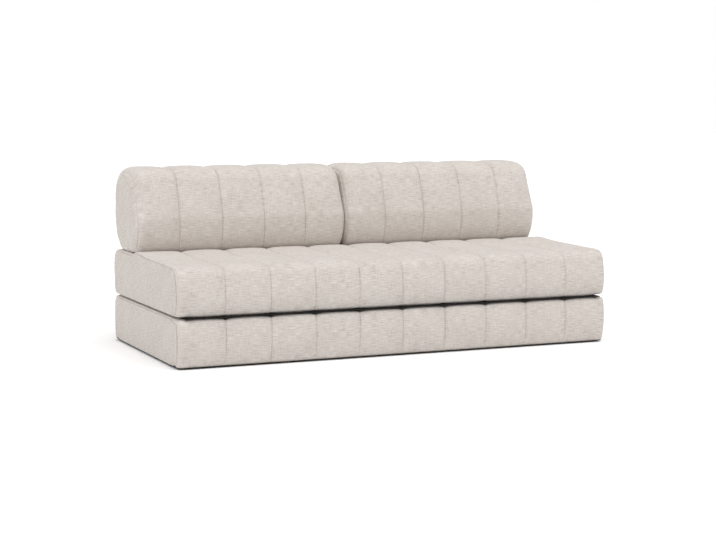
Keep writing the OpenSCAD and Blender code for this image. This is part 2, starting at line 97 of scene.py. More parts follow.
def wavy(x, y, seed, wave):
    """Smooth hills between -1 and 1, about that wave long, the same each run."""
    grid = np.random.default_rng(seed).uniform(-1, 1, (64, 64))
    u, v = np.broadcast_arrays(np.asarray(x, float) / wave, np.asarray(y, float) / wave)
    i, j = np.floor(u).astype(int), np.floor(v).astype(int)
    fu, fv = u - i, v - j
    fu, fv = fu * fu * (3 - 2 * fu), fv * fv * (3 - 2 * fv)
    low = grid[i % 64, j % 64] * (1 - fu) + grid[(i + 1) % 64, j % 64] * fu
    high = grid[i % 64, (j + 1) % 64] * (1 - fu) + grid[(i + 1) % 64, (j + 1) % 64] * fu
    return low * (1 - fv) + high * fv


# Outlines
OUTLINE_SPREAD = 4.0


def mixed(pair, t):
    """From the first value of a pair to its second, as t goes from 0 to 1."""
    return pair[0] + (pair[1] - pair[0]) * t


def arc(cy, cz, r, a0, a1, n, w, rz=None):
    """Points of an arc, or of an ellipse with the height rz, each with its share of the valleys, w."""
    t = np.linspace(0, 1, n + 1)
    a = np.radians(mixed((a0, a1), t))
    return np.c_[cy + r * np.cos(a), cz + (rz or r) * np.sin(a), mixed(w, t)]


def ease(t):
    t = np.clip(t, 0, 1)
    return t * t * (3 - 2 * t)


def rise(value, pair):
    """0 before a pair's first value and 1 past its second, with an eased step between them."""
    return ease((value - pair[0]) / (pair[1] - pair[0]))


def sampled(at, run, values):
    """The columns of values, which stand along a run, at other places on it."""
    return np.stack([np.interp(at, run, column) for column in values.T], 1)


def lower_turn(r, inset=BELLY):
    return math.degrees(math.asin((inset + r - WALL) / r))


def unit(rows):
    return rows / np.linalg.norm(rows, axis=1)[:, None]


def normals(yz):
    """Unit vectors to the left of a line of points."""
    tangent = unit(np.gradient(yz, axis=0))
    return np.c_[-tangent[:, 1], tangent[:, 0]]


def hermite(t, h, a, b, slope_a, slope_b):
    """The place at the share t of a smooth span of length h, from its ends and their slopes."""
    return (
        (2 * t**3 - 3 * t**2 + 1) * a + (t**3 - 2 * t**2 + t) * h * slope_a
        + (3 * t**2 - 2 * t**3) * b + (t**3 - t**2) * h * slope_b
    )


def curve_through(points, step, spread):
    """A smooth curve through points, a step apart, with its kinks eased over the spread."""
    p = np.vstack([np.atleast_2d(q) for q in points])
    chord = np.linalg.norm(np.diff(p[:, :2], axis=0), axis=1)
    keep = np.r_[True, chord > 1e-6]
    p = p[keep]
    chord = np.linalg.norm(np.diff(p[:, :2], axis=0), axis=1)
    at = np.r_[0, np.cumsum(chord)]
    slope = np.diff(p[:, :2], axis=0) / chord[:, None]
    m = np.vstack([slope[:1], slope])
    a, b = chord[:-1, None], chord[1:, None]
    m[1:-1] = (slope[:-1] * b + slope[1:] * a) / (a + b)
    s = np.linspace(0, at[-1], int(at[-1] / step) + 1)
    k = np.clip(np.searchsorted(at, s, side="right") - 1, 0, len(chord) - 1)
    h, t = chord[k][:, None], ((s - at[k]) / chord[k])[:, None]
    yz = hermite(t, h, p[k, :2], p[k + 1, :2], m[k], m[k + 1])
    full = np.c_[yz, np.interp(s, at, p[:, 2])]
    reach = int(3 * spread / step)
    kernel = np.exp(-0.5 * (np.arange(-reach, reach + 1) * step / spread) ** 2)
    kernel /= kernel.sum()
    padded = np.vstack([2 * full[0] - full[reach:0:-1], full, 2 * full[-1] - full[-2:-reach - 2:-1]])
    smooth = np.stack([np.convolve(padded[:, c], kernel, "valid") for c in range(3)], 1)
    smooth[:, 2:] = smooth[:, 2:].clip(0, None)
    return smooth


def outline_of(points, count, hold=1.0):
    """Samples of an outline, closer together where it turns unless hold is 0: a dict of their places yz,
    normals n, shares of the valleys w and lengths s."""
    step = 1.5
    full = curve_through(points, step, OUTLINE_SPREAD)
    yz = full[:, :2]
    tangent = unit(np.gradient(yz, axis=0))
    turn = np.linalg.norm(np.gradient(tangent, axis=0), axis=1) / step
    turn = np.convolve(np.pad(turn, 8, "edge"), np.ones(17) / 17, "valid")
    ds = np.r_[0, np.linalg.norm(np.diff(yz, axis=0), axis=1)]
    weight = np.cumsum(ds * (1 + 42 * turn * hold))
    pick = np.interp(np.linspace(0, weight[-1], count), weight, np.arange(len(yz)))
    index = np.arange(len(yz))
    picked = sampled(pick, index, np.c_[full, tangent, np.cumsum(ds)])
    tangent = unit(picked[:, 3:5])
    normal = np.c_[-tangent[:, 1], tangent[:, 0]]
    return {"yz": picked[:, :2], "n": normal, "w": picked[:, 2], "s": picked[:, 5]}


def bow(y, z0, z1, out, n, w, y1=None):
    """Points of a padded face between two heights, bowed out along -Y by out at the middle."""
    t = np.linspace(0, 1, n + 1)
    line = mixed((y, y if y1 is None else y1), t)
    return np.c_[line - out * 4 * t * (1 - t), mixed((z0, z1), t), mixed(w, t)][1:-1]


def low_front(r, z=0.0):
    return arc(FRONT_IN + r, z + r, r, 270 - lower_turn(r, FRONT_IN), 190, 8, (0, 0.4))


def low_rear(r, w=0.4):
    return arc(SLAB_D - BELLY - r, r, r, 0, lower_turn(r) - 90, 8, (w, 0))


def base_points():
    h, bed = BASE_SLAB_H, BASE_SLAB_H - STRAP_T
    return [
        low_front(FOOT_R),
        bow(FRONT_IN, FOOT_R, bed - JOINT_OPEN - JOINT_R, FRONT_IN, 10, (0.4, 0.6), FRONT_IN - BASE_OUT),
        arc(FRONT_IN - BASE_OUT + JOINT_R, bed - JOINT_OPEN - JOINT_R, JOINT_R, 165, 90, 10, (0.6, 1)),
        (40, bed - 0.5, 1), (60, bed, 1), (STRAP_W, bed, 1),
        (STRAP_W + 12, bed + 0.35, 1), (STRAP_W + 24, bed + 1.25, 1), (STRAP_W + 36, h, 1),
        (200, h, 1), (400, h, 1), (600, h, 1), (800, h, 1), (930, h, 1),
        arc(SLAB_D - BELLY - JOINT_REAR_R, h - JOINT_REAR_R, JOINT_REAR_R, 90, 0, 10, (1, 0.6)),
        bow(SLAB_D - BELLY, h - JOINT_REAR_R, FOOT_R, -BELLY, 8, (0.6, 0.4)),
        low_rear(FOOT_R),
    ]


def seat_points():
    h, edge = SEAT_SLAB_H, SEAT_SLAB_H - 4
    return [
        low_front(JOINT_R, STRAP_T + JOINT_OPEN),
        bow(FRONT_IN, JOINT_R + STRAP_T + JOINT_OPEN, edge - BROW_H, FRONT_IN, 10, (0.4, 0.6)),
        arc(FRONT_IN + TOP_R, edge - BROW_H, TOP_R, 168, 90, 12, (0.6, 1), BROW_H),
        (140, h - 1.2, 1), (260, h + 0.8, 1), (394, h + 3.0, 1), (500, h + 7.0, 1),
        (568, h + 12.0, 1), (606, h + 13.0, 1), (630, h + 9.0, 1), (646, h + 2.4, 1), (660, h - 0.3, 1),
        (740, h - 0.3, 1), (HEEL_Y - 25, h - 0.3, 1), (HEEL_Y + 10, h + 0.4, 1), (908, h + 0.4, 1),
        arc(SLAB_D - BELLY - TOP_R, edge - TOP_R, TOP_R, 90, 0, 12, (1, 0.6)),
        (984, 146, 0.6), (985, 129.5, 0.5), (983, 106, 0.25),
        (979, 84, 0), (979, 70, 0), (979, 57, 0), (979, 44, 0),
        low_rear(JOINT_REAR_R, 0),
    ]


def heel_point(angle):
    a = math.radians(angle)
    return np.array([HEEL_Y + HEEL_R * math.cos(a), HEEL_R + HEEL_R * math.sin(a)])


ZIP_A, ZIP_B = heel_point(-8 - 82 / 3), heel_point(-8 - 164 / 3)


def cushion_points():
    h = CUSHION_H + PUFF
    turn = np.radians(np.linspace(0, 90, 11))
    nose_y = NOSE_Y - (NOSE_Y - CUSHION_FRONT) * np.sin(turn)
    nose = np.c_[nose_y, NOSE_H * (1 - np.cos(turn)), turn / turn[-1]]
    brow = (CUSHION_FRONT + 46 + BROW_R, h - 3 - BROW_R)
    nape = (CUSHION_BACK - NAPE_R, h - 3 - NAPE_R)
    band = [(*(ZIP_A + (ZIP_B - ZIP_A) * t), 0) for t in (0, 0.25, 0.5, 0.75, 1)]
    return [
        nose, (609.5, 180, 1), (619.0, 215, 1), (630.0, 252, 1),
        arc(*brow, BROW_R, 163, 94, 10, (1, 1)),
        ((brow[0] + nape[0]) / 2, h, 1),
        arc(*nape, NAPE_R, 84, 0, 10, (1, 1)),
        (CUSHION_BACK, h * 0.58, 1), (995, 160, 0.8), (986.5, 120, 0.4),
        arc(HEEL_Y, HEEL_R, HEEL_R, -8, -28, 3, (0.1, 0)),
        *band,
        arc(HEEL_Y, HEEL_R, HEEL_R, -70, -90, 3, (0, 0)),
    ]


# Quilted shells
def valley(s):
    """Cross-section of a channel: 1 at the seam, 0 in the middle; s in mm for a 200 mm channel."""
    return 0.6 * np.clip(1 - s / 60, 0, 1) ** 3 + 0.4 * np.clip(1 - s / 100, 0, 1) ** 2


def round_in(r, d):
    d = np.clip(d, 0, r)
    return r - np.sqrt(r * r - (r - d) ** 2)


def end_seam(z, run):
    """How deep the seam round an end lies, run away from it. Underneath, the end reaches down instead."""
    sink = ease(z / 16)
    return (SEAM_DIP * sink - END_HANG * (1 - sink)) * np.exp(-run / 2.0)


def beside(d, reach):
    """How strongly the cloth puckers at the distance d from a seam: most just beside it."""
    return np.exp(-d / reach) * (1 - np.exp(-d / 2.2))


END_STEPS = (0, 0.7, 1.6, 3, 5, 7.5, 10.5, 14, 18, 23, 29, 36, 44, 53, 63, 74, 86)
SEAM_STEPS = (0, 0.7, 1.5, 2.7, 4.4, 7, 11, 16, 23, 31, 41, 53, 68, 84, 100)


class Ends:
    """How the ends of a shell are rounded: over which depths and heights the front, rear, top and
    bottom are drawn in, and the radii: in plan low down and high up, then of the top and the bottom, in
    the middle and near the corners. lift and droop part the bottom and the top from their neighbour,
    and stretch draws the top's rounding out."""

    def __init__(
        self, front, rear, top, bottom, plan_rs, top_rs, low_rs, lift=0.0, droop=0.0, stretch=1.0
    ):
        self.front, self.rear, self.top, self.bottom = front, rear, top, bottom
        self.plan_rs, self.top_rs, self.low_rs = plan_rs, top_rs, low_rs
        self.lift, self.droop, self.stretch = lift, droop, stretch

    def drawn(self, y, z, d):
        """(dy, dz) by which a point of the outline moves in at the distance d from the end."""
        ahead, behind = rise(y, self.front[::-1]), rise(y, self.rear)
        up, down = rise(z, self.top), rise(z, self.bottom[::-1])
        near = np.maximum(ahead, behind)
        slot = rise(d, (80, 40))
        plan_r = mixed(self.plan_rs, ease((z - self.bottom[1]) / 150))
        dy = (ahead - behind) * round_in(plan_r, d)
        dz = down * (round_in(mixed(self.low_rs, near), d) + self.lift * slot)
        top_r = mixed(self.top_rs, near)
        return dy, dz - up * (round_in(top_r, d / self.stretch) + self.droop * slot)


class Shell:
    """A quilted cover: its outline swept along X, with a sewn valley between each two channels and
    rounded ends. puckers says how strongly the seams gather the cloth, and notch how far it is pulled
    in along X beside the seam round an end."""

    def __init__(self, points, count, half, panel, width, n, ends, seed, puckers, notch=0.0):
        self.points, self.half, self.panel, self.ends = points, half, panel, ends
        self.width, self.n = width, n
        self.seed, self.puckers, self.notch = seed, puckers, notch
        self.fine = outline_of(points, count)
        self.move = None

    def seams(self):
        return [(k - self.n / 2) * self.width for k in range(1, self.n)]

    def stations(self):
        steps = [s * step * self.width / CHANNEL_W for step in SEAM_STEPS for s in (-1, 1)]
        xs = {round(x + step, 4) for x in self.seams() for step in steps}
        first = (self.n - 1) / 2 * self.width
        ends = [self.panel - s for s in END_STEPS if self.panel - s > first]
        xs |= {round(s * x, 4) for x in ends for s in (-1, 1)}
        return np.array(sorted(x for x in xs if abs(x) <= self.panel))

    def drawn_in(self, o, xs, fine=True):
        """(X, depth) for each station and outline sample: where it stands, and how far it is drawn in."""
        x, s = np.meshgrid(xs, o["s"], indexing="ij")
        w = o["w"][None, :]
        k = np.clip(np.rint(x / self.width + self.n / 2), 1, self.n - 1)
        away = x - (k - self.n / 2) * self.width
        d = np.abs(away) * CHANNEL_W / self.width
        depth = CHANNEL_DEPTH * w * valley(d)
        if not fine:
            return x, depth
        side = self.panel - np.abs(x)
        depth = depth + end_seam(o["yz"][None, :, 1], np.clip(side, 0, None))
        show = np.clip(w * 2.2, 0, 1)
        depth = depth + show * (2.2 * np.exp(-d / 5) + 1.4 * np.exp(-((d / 1.2) ** 2)))
        gather = beside(d, 15) * show
        depth = depth - self.puckers * gather * (
            0.75 * wavy(s, k * 9.7 * 13 + np.sign(away) * 31, self.seed, 13)
            + 0.5 * wavy(s, k * 5.3 * 29 + np.sign(away) * 17, self.seed + 1, 29)
        )
        ripple = wavy(s, np.sign(x) * 300, self.seed + 2, 15)
        depth = depth - self.puckers * 0.6 * beside(side, 14) * ripple
        still = np.clip(side / 40, 0, 1) * np.clip(w * 2, 0, 1)
        depth = depth - self.puckers * still * 0.35 * wavy(x, s, self.seed + 3, 70)
        x = x + 0.8 * wavy(s, k * 57.0, self.seed + 4, 120) * np.exp(-d / 30) * show * (side > 0.01)
        x = x - np.sign(x) * self.notch * np.exp(-side / 1.3)
        return x, depth

    def points_at(self, o, xs, fine=True):
        x, depth = self.drawn_in(o, xs, fine)
        y, z, d = o["yz"][None, :, 0], o["yz"][None, :, 1], self.half - np.abs(xs)[:, None]
        dy, dz = self.ends.drawn(y, z, d)
        y = y - o["n"][None, :, 0] * depth + dy
        z = z - o["n"][None, :, 1] * depth + dz
        p = np.stack([x, y, z], 2)
        if fine and self.move is not None:
            p = p + self.move(xs, o["s"])
        return p

    def lifted(self, x, y):
        """How far the bottom is drawn in along Y and drawn up at a place."""
        return self.ends.drawn(y, 0.0, self.half - np.abs(x))


def strip(a, b, n):
    """Quads between two rows of n + 1 points that start at a and b."""
    i = np.arange(n)
    return np.stack([a + i, a + i + 1, b + i + 1, b + i], 1)


def triangles(*corners):
    """Triangles from their three corners, which are indices or arrays of them."""
    return np.stack(np.broadcast_arrays(*np.atleast_1d(*corners)), 1)


def grid_faces(rows, n):
    """Quads between each two of some rows of n points."""
    return np.vstack([strip(k * n, (k + 1) * n, n - 1) for k in range(rows - 1)])


def new_mesh(verts, faces, uv=None, sharp=40.0):
    """A mesh from mm points and faces, which is a list of index arrays, one row a face."""
    me = bpy.data.meshes.new("mesh")
    verts = to_metres(verts)
    rows = [np.asarray(f, int) for f in faces if len(f)]
    loops = np.concatenate([f.ravel() for f in rows])
    sizes = np.concatenate([np.full(len(f), f.shape[1]) for f in rows])
    me.vertices.add(len(verts))
    me.vertices.foreach_set("co", verts.astype(np.float32).ravel())
    me.loops.add(len(loops))
    me.loops.foreach_set("vertex_index", loops.astype(np.int32))
    me.polygons.add(len(sizes))
    me.polygons.foreach_set("loop_start", np.r_[0, np.cumsum(sizes)[:-1]].astype(np.int32))
    me.polygons.foreach_set("use_smooth", np.ones(len(sizes), bool))
    me.update(calc_edges=True)
    if uv is not None:
        layer = me.uv_layers.new(name=UV)
        layer.data.foreach_set("uv", (np.asarray(uv)[loops] * MM).astype(np.float32).ravel())
    me.validate()
    if sharp:
        me.set_sharp_from_angle(angle=math.radians(sharp))
    return me


def closed_mesh(verts, faces, uv=None, sharp=35.0, weld=False):
    """A closed mesh whose faces are turned outward. weld joins the points that meet."""
    me = new_mesh(verts, faces, uv, sharp=0)
    bm = bmesh.new()
    bm.from_mesh(me)
    if weld:
        bmesh.ops.remove_doubles(bm, verts=bm.verts, dist=2e-6)
        bmesh.ops.dissolve_degenerate(bm, edges=bm.edges, dist=1e-6)
    bmesh.ops.recalc_face_normals(bm, faces=bm.faces)
    bm.to_mesh(me)
    bm.free()
    me.set_sharp_from_angle(angle=math.radians(sharp))
    return me


def added(name, data):
    """A new object of the scene."""
    ob = bpy.data.objects.new(name, data)
    bpy.context.scene.collection.objects.link(ob)
    return ob


def piece(name, mesh, body, material, node=()):
    """A new piece on a body, which stands for the CAD nodes that it hides."""
    mesh.name = name
    ob = added(name, mesh)
    mesh.materials.append(material)
    if body:
        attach(ob, body)
    if node:
        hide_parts(*node)
    return ob


def cover_mesh(shell, inside, z, mid=0.0):
    """The cover as a closed wall between its skin and its inner corners."""
    o, xs = shell.fine, shell.stations()
    m, s, n = len(o["yz"]), len(xs), len(inside)
    skin = shell.points_at(o, xs)
    uv = np.stack(np.broadcast_arrays(xs[:, None], o["s"][None]), 2).reshape(-1, 2)
    inner = np.array([[x, *p] for x in (xs[0], xs[-1]) for p in inside])
    inner0 = m * s
    inner1, last = inner0 + n, m * (s - 1)
    facing = np.minimum(n - 1, np.arange(m - 1) * n // (m - 1))
    quads = np.vstack([grid_faces(s, m)[:, ::-1], strip(inner0, inner1, n - 1)])
    k = np.arange(s - 1)
    tris = [
        triangles((k + 1) * m, inner0, k * m),
        triangles(inner1, inner0, last),
        triangles(inner0 + n - 1, (k + 2) * m - 1, (k + 1) * m - 1),
        triangles(inner0 + n - 1, inner1 + n - 1, last + m - 1),
    ]
    i = np.arange(m - 1)
    jump = i[1:][facing[1:] != facing[:-1]]
    for first, corner, way in ((0, inner0, 1), (last, inner1, -1)):
        tris.append(triangles(corner + facing, first + i + 1, first + i)[:, ::way])
        tris.append(triangles(corner + facing[jump - 1], corner + facing[jump], first + jump)[:, ::way])
    verts = np.vstack([skin.reshape(-1, 3), inner]) + (mid, 0, z)
    uv = np.vstack([uv, inner[:, :2]]) + (mid, 0)
    return new_mesh(verts, [quads, np.vstack(tris)], uv)


CHORD_STEP = 14.0


def chord_samples(o, lo, hi):
    """Y of the samples of the straight bottom line of an end panel, from rear to front. Between lo
    and hi they are those of the top, so that both halves of the panel meet along its spine."""
    yz = o["yz"]
    top = yz[:, 1] > yz[:, 1].max() * 0.75
    ys = [y for y in yz[top, 0] if lo < y < hi]
    first, last = yz[0, 0], yz[-1, 0]
    ys += list(np.linspace(first, lo, max(2, int((lo - first) / CHORD_STEP)))[1:])
    ys += list(np.linspace(hi, last, max(2, int((last - hi) / CHORD_STEP)))[:-1])
    return np.array(sorted(set(np.round(ys, 4))))[::-1]


def end_mesh(shell, side, lo, hi, mid_z, z, mid, crown, seed):
    """An end panel, from the ring of its seam round to its gently filled face."""
    o, half = shell.fine, shell.half
    ys = chord_samples(o, lo, hi)
    first, last = o["yz"][0], o["yz"][-1]
    low = np.interp(ys, (first[0], first[0] + 70, last[0] - 40, last[0]), (first[1], 0, 0, last[1]))
    yz = np.vstack([np.round(o["yz"], 4), np.c_[ys, low]])
    normal = np.vstack([o["n"], np.tile((0.0, -1.0), (len(ys), 1))])
    spine = np.c_[yz[:, 0].clip(lo, hi), np.full(len(yz), mid_z)]
    length = np.r_[o["s"], o["s"][-1] + np.cumsum(np.full(len(ys), 8.0))]
    deep = half - shell.panel
    rings, uvs = [], []
    turns = np.array([0, 0.02, 0.05, 0.1, 0.17, 0.26, 0.37, 0.5, 0.64, 0.8, 1])
    for t in turns:
        d = deep * (1 - t) ** 2
        dy, dz = shell.ends.drawn(yz[:, 0], yz[:, 1], d)
        run = np.hypot(deep - d, 5 * t)
        pucker = beside(run, 12) * wavy(length, side * 300 + seed, 77 + seed, 15)
        depth = end_seam(yz[:, 1], run) - 0.5 * pucker
        ring = yz - normal * depth[:, None] + np.c_[dy, dz]
        rings.append(np.c_[np.full(len(ring), half - d - shell.notch * np.exp(-run / 2.6)), ring])
        uvs.append(yz + np.c_[dy, dz] * 0.5 + normal * (deep - d))
    edge = rings[-1][:, 1:]
    for f in (0.03, 0.08, 0.15, 0.25, 0.4, 0.6, 0.8, 1.0):
        ring = edge * (1 - f) + spine * f
        x = np.full(len(ring), half)
        if crown:
            x = x + crown * (1 - (1 - f) ** 2.5) + 0.4 * f * wavy(ring[:, 0], ring[:, 1], 91 + seed, 60)
        rings.append(np.c_[x, ring])
        uvs.append(ring)
    rings.append(np.c_[np.full(len(yz), shell.panel), spine])
    uvs.append(spine)
    m, r = len(yz), len(rings)
    verts = np.vstack(rings)
    faces = []
    for k in [*range(r - 2), r - 1]:
        a, b = k * m, ((k + 1) % r) * m
        faces.append(np.vstack([strip(a, b, m - 1), np.array([[a + m - 1, a, b, b + m - 1]])]))
    faces = np.vstack(faces)
    if side > 0:
        faces = faces[:, ::-1]
    verts = verts * (side, 1, 1) + (mid, 0, z)
    return closed_mesh(verts, [faces], np.vstack(uvs), 60, weld=True)


# Materials
class Nodes:
    """Short ways to make the nodes of a material or of the world."""

    def __init__(self, tree):
        self.tree = tree

    def put(self, node, inputs):
        """Sets a node's inputs, each to a value or to the socket that feeds it."""
        for key, value in inputs.items():
            if isinstance(value, bpy.types.NodeSocket):
                self.tree.links.new(value, node.inputs[key])
            else:
                node.inputs[key].default_value = value

    def make(self, kind, inputs, **settings):
        """The outputs of a new node."""
        node = self.tree.nodes.new("ShaderNode" + kind)
        for key, value in settings.items():
            setattr(node, key, value)
        self.put(node, inputs)
        return node.outputs

    def maths(self, operation, a, b):
        return self.make("Math", {0: a, 1: b}, operation=operation)[0]


class Look(Nodes):
    """A material on the principled shader."""

    def __init__(self, name, roughness, **sockets):
        self.mat = bpy.data.materials.new(name)
        self.mat.use_nodes = True
        super().__init__(self.mat.node_tree)
        self.shader = self.tree.nodes["Principled BSDF"]
        self.put(self.shader, {"Roughness": roughness})
        self.put(self.shader, {key.replace("_", " "): value for key, value in sockets.items()})

    def place(self):
        return self.make("TexCoord", {})["Object"]

    def scaled(self, vector, *scale):
        return self.make("Mapping", {"Vector": vector, "Scale": scale})["Vector"]

    def noise(self, vector, scale, detail=3.0, roughness=0.6):
        inputs = {"Vector": vector, "Scale": scale, "Detail": detail, "Roughness": roughness}
        return self.make("TexNoise", inputs)["Fac"]

    def waves(self, vector, scale, distortion):
        """Bands along X and bands along Y."""
        inputs = {"Vector": vector, "Scale": scale, "Distortion": distortion}
        return [self.make("TexWave", inputs, wave_type="BANDS", bands_direction=d)["Fac"] for d in "XY"]

    def blend(self, *parts):
        """The sum of some values, each times its share."""
        total, *rest = [self.maths("MULTIPLY", value, share) for value, share in parts]
        for part in rest:
            total = self.maths("ADD", total, part)
        return total

    def ramp(self, value, *stops):
        """A colour from a value, by the colours at some places between 0 and 1."""
        node = self.tree.nodes.new("ShaderNodeValToRGB")
        while len(node.color_ramp.elements) < len(stops):
            node.color_ramp.elements.new(0.5)
        for element, (place, colour) in zip(node.color_ramp.elements, stops):
            element.position = place
            element.color = (*colour, 1)
        self.put(node, {"Fac": value})
        return node.outputs["Color"]

    def paint(self, value, *stops):
        self.put(self.shader, {"Base Color": self.ramp(value, *stops)})

    def roughen(self, value, low, high, **more):
        inputs = {"Value": value, "To Min": low, "To Max": high}
        inputs.update({key.replace("_", " "): number for key, number in more.items()})
        self.put(self.shader, {"Roughness": self.make("MapRange", inputs)["Result"]})

    def emboss(self, height, strength, distance):
        inputs = {"Strength": strength, "Distance": distance, "Height": height}
        self.put(self.shader, {"Normal": self.make("Bump", inputs)["Normal"]})


def srgb(r, g, b):
    """A colour as a picture holds it, from 0 to 255, in the linear values that a shader takes."""
    return tuple(((c / 255 + 0.055) / 1.055) ** 2.4 if c > 10 else c / 255 / 12.92 for c in (r, g, b))


def shaded(colour, times, plus=0.0):
    return tuple(min(1, c * times + plus) for c in colour)


def fabric(name, dark, mid, light):
    """A melange plain weave: warp and weft threads about 2.1 mm apart, with slubs along the weft."""
    look = Look(name, 0.92, Sheen_Weight=0.18, Sheen_Roughness=0.45, Specular_IOR_Level=0.2)
    uv = look.make("UVMap", {}, uv_map=UV)["UV"]
    weft = look.noise(look.scaled(uv, 26, 330, 1), 1.0, 3.0, 0.7)
    warp = look.noise(look.scaled(uv, 260, 24, 1), 1.0, 3.0, 0.65)
    flecks = look.noise(uv, 380, 2.0)
    clouds = look.noise(uv, 7, 2.0, 0.5)
    mix = look.blend((weft, 0.48), (warp, 0.17), (flecks, 0.27), (clouds, 0.08))
    colour = look.ramp(mix, (0.37, dark), (0.5, mid), (0.63, light))
    across, up = look.waves(uv, 75.0, 0.0)
    white, black = (1, 1, 1, 1), (0, 0, 0, 1)
    checks = look.make("TexChecker", {"Vector": uv, "Scale": 477.0, "Color1": white, "Color2": black})
    picks = {"Factor": checks["Fac"], "A": across, "B": up}
    threads = look.make("Mix", picks, data_type="FLOAT")["Result"]
    shade = look.make("MapRange", {"Value": threads, "To Min": 0.9, "To Max": 1.03})["Result"]
    tint = {"Factor": 1.0, "A": colour, "B": shade}
    tinted = look.make("Mix", tint, data_type="RGBA", blend_type="MULTIPLY")["Result"]
    look.put(look.shader, {"Base Color": tinted})
    look.roughen(mix, 0.98, 0.86, From_Min=0.35, From_Max=0.65)
    look.emboss(look.blend((threads, 0.35), (mix, 1.6)), 0.55, 0.0011)
    return look.mat


def plain_weave(name, colour, pitch, roughness, sheen=0.1):
    """A fine technical cloth on object coordinates, such as webbing or dust cloth."""
    look = Look(name, roughness, Sheen_Weight=sheen, Specular_IOR_Level=0.25)
    at = look.place()
    threads = look.maths("MAXIMUM", *look.waves(at, 0.16 / pitch / MM, 0.4))
    value = look.blend((threads, 0.5), (look.noise(at, 60), 0.5))
    low, high = shaded(colour, 0.6), shaded(colour, 1.5, 0.004)
    look.paint(value, (0.2, low), (0.55, colour), (0.9, high))
    look.emboss(value, 0.5, 0.0006)
    return look.mat


def wood(name, light, dark, grain_along):
    look = Look(name, 0.6)
    at = look.place()
    inputs = {"Vector": look.scaled(at, 0.6, 14, 14), "Scale": 2.2, "Distortion": 5.0, "Detail": 3.0}
    rings = look.make("TexWave", inputs, wave_type="BANDS", bands_direction=grain_along)
    pores = look.noise(look.scaled(at, 8, 260, 260), 1.0, 3.0, 0.7)
    value = look.blend((rings["Fac"], 0.6), (pores, 0.4))
    look.paint(value, (0.2, dark), (0.75, light))
    look.emboss(value, 0.3, 0.0005)
    return look.mat


def cellular(name, colour, scale, depth):
    """Foam or fibre filling."""
    look = Look(name, 0.95)
    at = look.place()
    cells = look.make("TexVoronoi", {"Vector": at, "Scale": scale})["Distance"]
    value = look.blend((cells, 0.5), (look.noise(at, 40), 0.5))
    look.paint(value, (0.15, shaded(colour, 0.8)), (0.7, colour))
    look.emboss(value, 0.5, depth)
    return look.mat


def metal(name, colour, roughness):
    look = Look(name, roughness, Metallic=1.0)
    scratches = look.noise(look.scaled(look.place(), 900, 90, 400), 1.0)
    look.paint(scratches, (0.3, shaded(colour, 0.8)), (0.7, colour))
    look.roughen(scratches, roughness - 0.1, roughness + 0.12)
    look.emboss(scratches, 0.15, 0.0002)
    return look.mat


def moulded(name, colour, roughness):
    look = Look(name, roughness)
    at = look.place()
    wear = look.noise(at, 35)
    look.paint(wear, (0.35, shaded(colour, 0.75)), (0.7, shaded(colour, 1.5, 0.01)))
    look.roughen(wear, roughness - 0.12, roughness + 0.2)
    look.emboss(look.noise(at, 700), 0.3, 0.0003)
    return look.mat


COVER = fabric("cover_fabric", srgb(178, 167.5, 157.5), srgb(210, 202.5, 195.5), srgb(232, 226.5, 221.5))
BLACK_CLOTH = plain_weave("black_nonwoven", srgb(34, 33, 33), 0.9, 0.9)
# The strap's near-black colour and missing sheen are partly painted shade: they stand in for the dark shadow
# in the gap between the slabs.
STRAP_WEB_AND_GAP_SHADE = plain_weave("strap_webbing_and_gap_shade", srgb(15, 12, 10), 1.6, 0.85, 0.0)
GRIP_CLOTH = plain_weave("grip_mesh", srgb(44, 42, 41), 1.2, 0.85)
GRIP_DOTS = moulded("grip_dots", srgb(26, 25, 25), 0.55)
ZIP_TAPE = plain_weave("zip_tape", srgb(196, 187, 176), 0.8, 0.85)
ZIP_TEETH = moulded("zip_teeth", srgb(186, 177, 166), 0.4)
THREAD = plain_weave("sewing_thread", srgb(200, 193, 186), 0.4, 0.7)
DARK_THREAD = plain_weave("strap_thread", srgb(58, 54, 52), 0.4, 0.7)
SLIDER = metal("zip_slider_metal", srgb(168, 162, 154), 0.35)
STEEL = metal("zinc_steel", srgb(190, 190, 192), 0.35)
GLIDE = moulded("glide_plastic", srgb(40, 39, 39), 0.5)
TIMBER = wood("pine", srgb(222, 196, 152), srgb(186, 148, 100), "Y")
PLYWOOD = wood("plywood_face", srgb(214, 188, 148), srgb(178, 144, 102), "Z")
FOAM = cellular("foam_cells", srgb(238, 228, 196), 420, 0.0008)
FIBRE = cellular("polyester_fibre", srgb(244, 244, 242), 180, 0.0015)

CAD_LOOKS = {
    TIMBER: ["rail_front", "rail_rear", "rail_left", "rail_right", "cross_rails", "corner_blocks"],
    PLYWOOD: ["deck_panel"],
    FOAM: ["base_foam_core", "seat_foam_core", "left_cushion_core", "right_cushion_core"],
    FIBRE: ["base_foam_top", "seat_foam_top", "seat_foam_sleep", "left_cushion_fibre", "right_cushion_fibre"],
    STEEL: ["glide_screws", "frame_screws", "deck_screws"],
}
for look, names in CAD_LOOKS.items():
    for name in names:
        for cad_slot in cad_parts[name].material_slots:
            cad_slot.material = look

